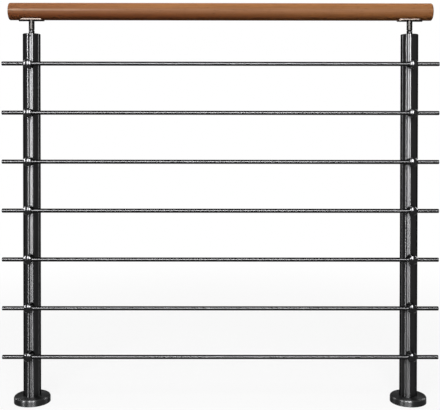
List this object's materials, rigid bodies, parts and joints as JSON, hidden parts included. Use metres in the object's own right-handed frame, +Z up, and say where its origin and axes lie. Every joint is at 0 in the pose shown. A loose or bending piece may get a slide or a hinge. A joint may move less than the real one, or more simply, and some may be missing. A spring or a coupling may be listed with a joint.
{
  "type": "stair railing section",
  "caption": "Level railing section: round steel posts on covered floor plates, slim round crossbars in front, and a round wooden handrail on jointed brackets.",
  "frame": {"origin": "centre of the underside of the left floor plate, at floor level", "axes": "+X along the railing to the right post, +Z up along the posts, and the crossbars on the -Y side"},
  "size_m": [1.042, 0.0954, 0.9727],
  "materials": {
    "post_steel": "fine brushed stainless steel, darkly reflecting",
    "base_steel": "milled stainless plate",
    "cover_steel": "pressed and brushed in rings",
    "bracket_steel": "satin turned stainless steel",
    "holder_steel": "satin turned stainless steel with a polished dome",
    "bar_steel": "fine ground stainless steel bar",
    "rail_wood": "oiled and lacquered reddish-brown hardwood"
  },
  "bodies": {
    "root": {"left_base_plate": "base_steel", "left_base_cover": "cover_steel", "left_post": "post_steel", "left_post_cap": "post_steel", "left_bracket_fork": "bracket_steel", "left_pivot_screw": "bracket_steel", "left_bracket_stem": "bracket_steel", "left_saddle_plate": "bracket_steel", "left_bar_holder_1": "holder_steel", "left_bar_holder_2": "holder_steel", "left_bar_holder_3": "holder_steel", "left_bar_holder_4": "holder_steel", "left_bar_holder_5": "holder_steel", "left_bar_holder_6": "holder_steel", "left_bar_holder_7": "holder_steel", "right_base_plate": "base_steel", "right_base_cover": "cover_steel", "right_post": "post_steel", "right_post_cap": "post_steel", "right_bracket_fork": "bracket_steel", "right_pivot_screw": "bracket_steel", "right_bracket_stem": "bracket_steel", "right_saddle_plate": "bracket_steel", "right_bar_holder_1": "holder_steel", "right_bar_holder_2": "holder_steel", "right_bar_holder_3": "holder_steel", "right_bar_holder_4": "holder_steel", "right_bar_holder_5": "holder_steel", "right_bar_holder_6": "holder_steel", "right_bar_holder_7": "holder_steel", "crossbar_1": "bar_steel", "crossbar_2": "bar_steel", "crossbar_3": "bar_steel", "crossbar_4": "bar_steel", "crossbar_5": "bar_steel", "crossbar_6": "bar_steel", "crossbar_7": "bar_steel", "handrail": "rail_wood"}
  },
  "joints": []
}
